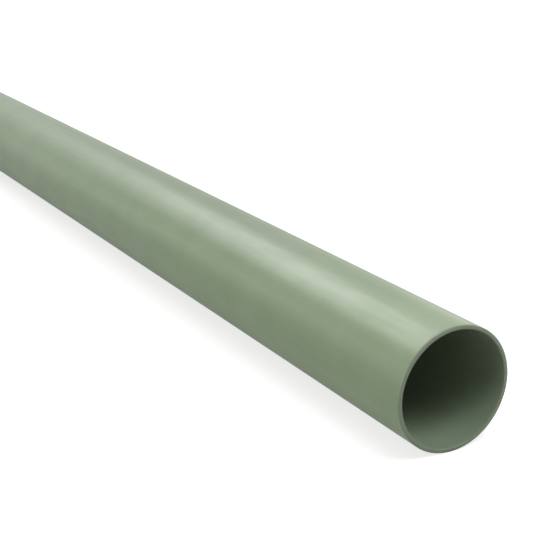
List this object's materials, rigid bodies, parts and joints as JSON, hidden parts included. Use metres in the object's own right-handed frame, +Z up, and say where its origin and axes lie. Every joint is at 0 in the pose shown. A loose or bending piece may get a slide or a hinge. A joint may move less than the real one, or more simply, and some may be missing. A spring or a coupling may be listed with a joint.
{
  "type": "pvc electrical conduit",
  "caption": "Round thin-walled plastic tube, open right through and sawn square at both ends, that carries and guards electrical cables.",
  "frame": {"origin": "on the surface that the tube lies on, under the middle of its length", "axes": "+X along the tube's axis towards the end nearer the viewer, +Z up, +Y level across the tube"},
  "size_m": [3, 0.114, 0.1143],
  "materials": {
    "pvc": "satin"
  },
  "bodies": {
    "root": {"conduit": "pvc"}
  },
  "joints": []
}
